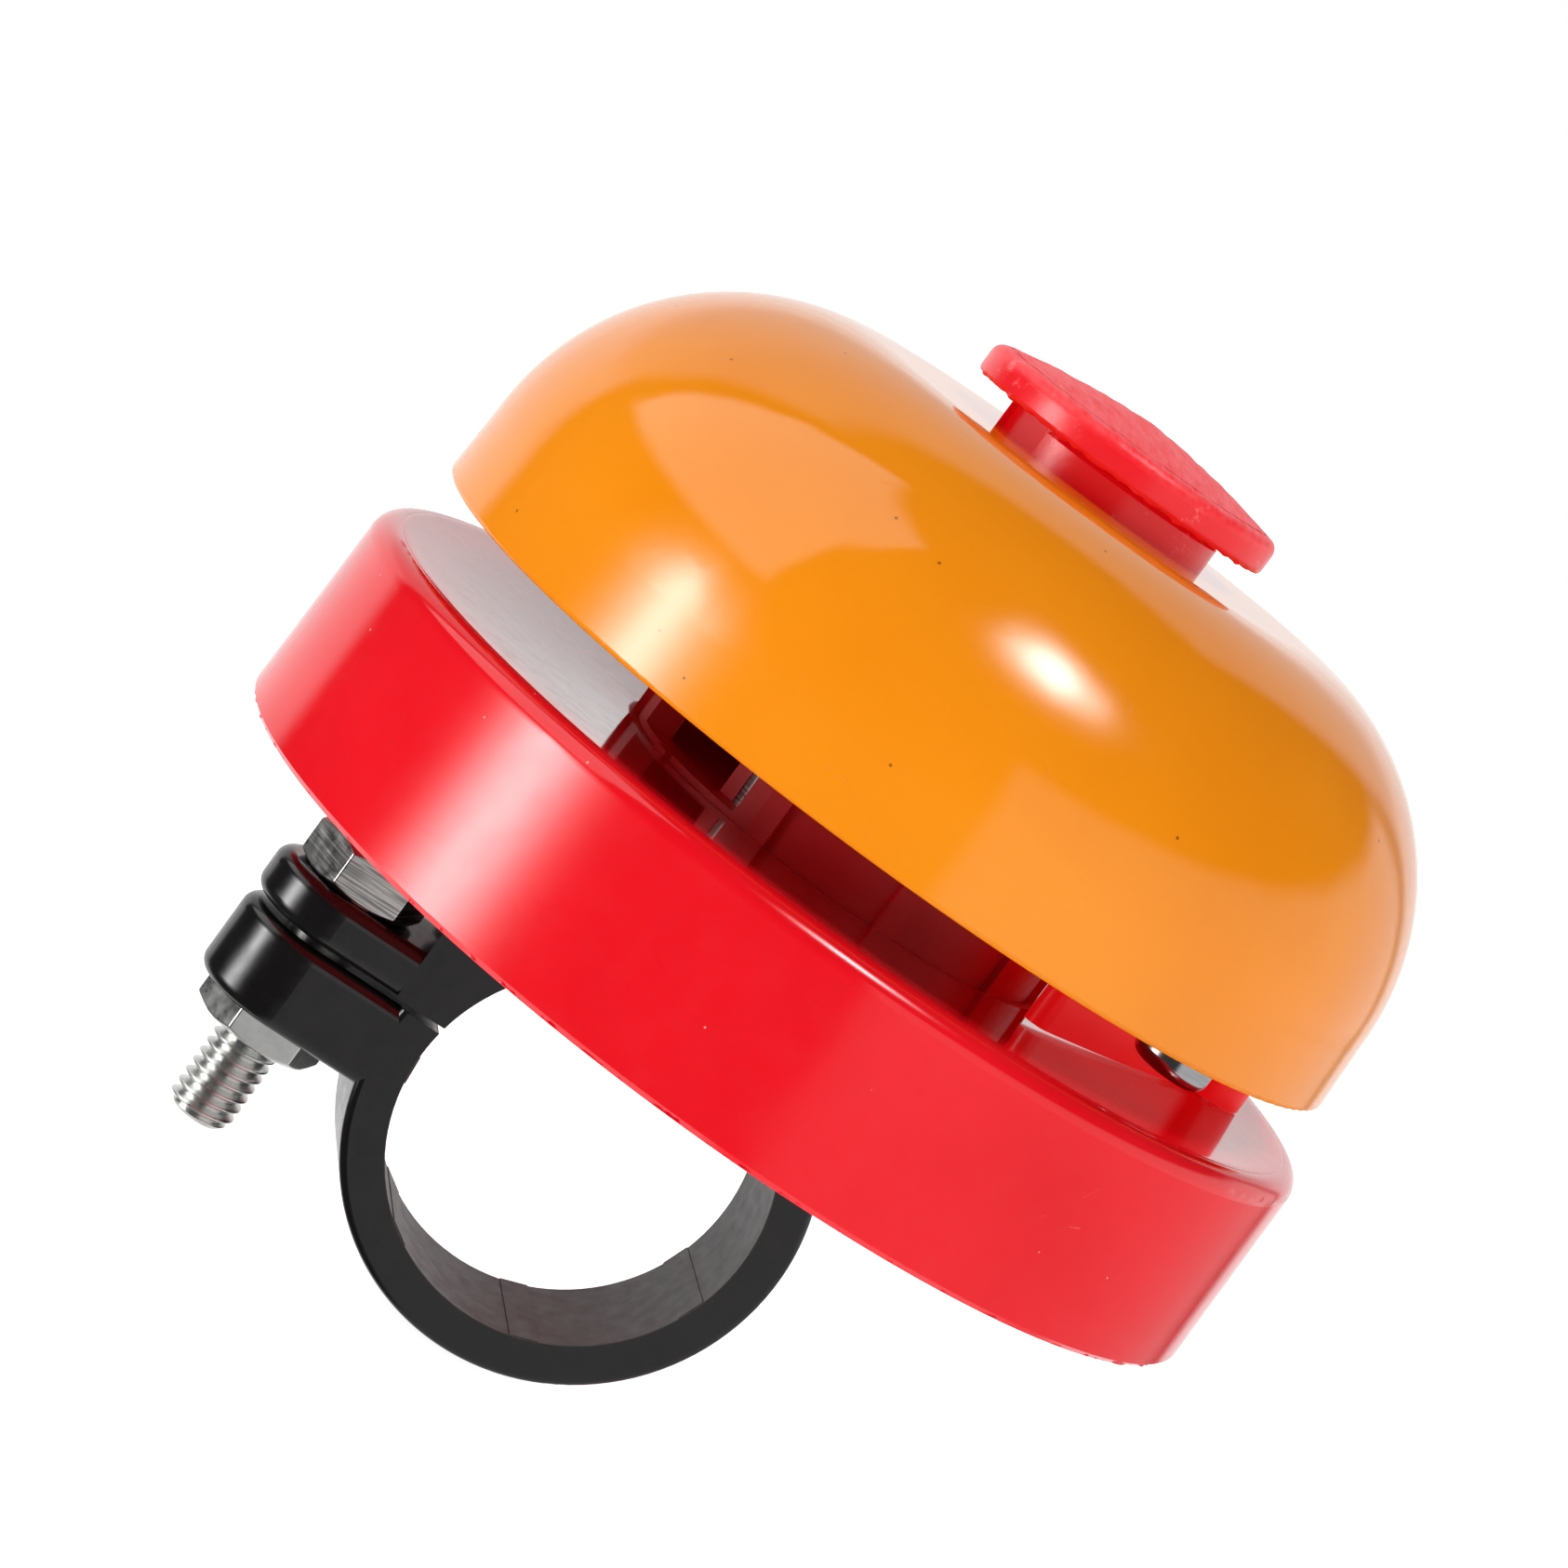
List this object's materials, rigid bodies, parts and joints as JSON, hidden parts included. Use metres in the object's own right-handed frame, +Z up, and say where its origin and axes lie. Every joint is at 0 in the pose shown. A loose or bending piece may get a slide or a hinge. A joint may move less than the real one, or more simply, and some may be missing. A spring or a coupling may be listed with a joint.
{
  "type": "bicycle bell",
  "caption": "Push-top bicycle bell: painted dome over a moulded drum base, sprung button, swinging hammer, and a split handlebar clamp closed by a hex bolt and nut.",
  "frame": {"origin": "centre of the clamp's bore, where the handlebar's axis passes", "axes": "+Z up along the bell's axis, +Y along the handlebar, the clamp's ears and bolt on the -X side"},
  "size_m": [0.0644, 0.0644, 0.0661],
  "materials": {
    "dome_lacquer": "glossy orange lacquer on spun steel",
    "red_moulding": "glossy moulded red ABS",
    "red_arm": "thin red moulded plastic that lets light through",
    "red_button": "satin moulded red plastic with a scuffed crown",
    "black_clamp": "satin black moulded nylon",
    "zinc_steel": "zinc-plated steel",
    "bright_steel": "turned bright steel",
    "spring_steel": "drawn spring wire",
    "seat_rubber": "matt black rubber"
  },
  "bodies": {
    "frame": {"clamp_band": "black_clamp", "clamp_nut": "zinc_steel", "base_screw": "zinc_steel", "base_washer": "zinc_steel", "base_cup": "red_moulding", "mechanism_housing": "red_moulding", "housing_screws": "zinc_steel", "bell_dome": "dome_lacquer", "dome_seat_washer": "seat_rubber", "dome_ring_nut": "red_moulding", "button_spring": "spring_steel", "hammer_pin": "bright_steel", "hammer_spring": "spring_steel"},
    "button": {"button_cap": "red_button", "plunger_rod": "bright_steel", "plunger_clip": "spring_steel", "plunger_cam": "red_moulding"},
    "hammer": {"hammer_arm": "red_arm", "striker": "bright_steel"},
    "clamp_bolt": {"clamp_bolt": "zinc_steel"}
  },
  "joints": [
    {"name": "button_press", "type": "slide", "parent": "frame", "child": "button", "axis": [0, 0, -1], "range_m": [0, 0.0015], "stiffness_N_per_m": 400, "springref_m": -0.003, "deforming": ["button_spring"]},
    {"name": "hammer_swing", "type": "hinge", "parent": "frame", "child": "hammer", "pos_m": [0.0272, -0.0042, 0.03], "axis": [0, 0, 1], "range_deg": [0, 4], "stiffness_Nm_per_rad": 0.004, "springref_deg": -2.86},
    {"name": "clamp_bolt_turn", "type": "hinge", "parent": "frame", "child": "clamp_bolt", "pos_m": [-0.0188, 0, 0], "axis": [0, 0, 1], "continuous": true}
  ],
  "couplings": [
    {"joint": "hammer_swing", "follows": "button_press", "rad_per_m": 46.542}
  ]
}
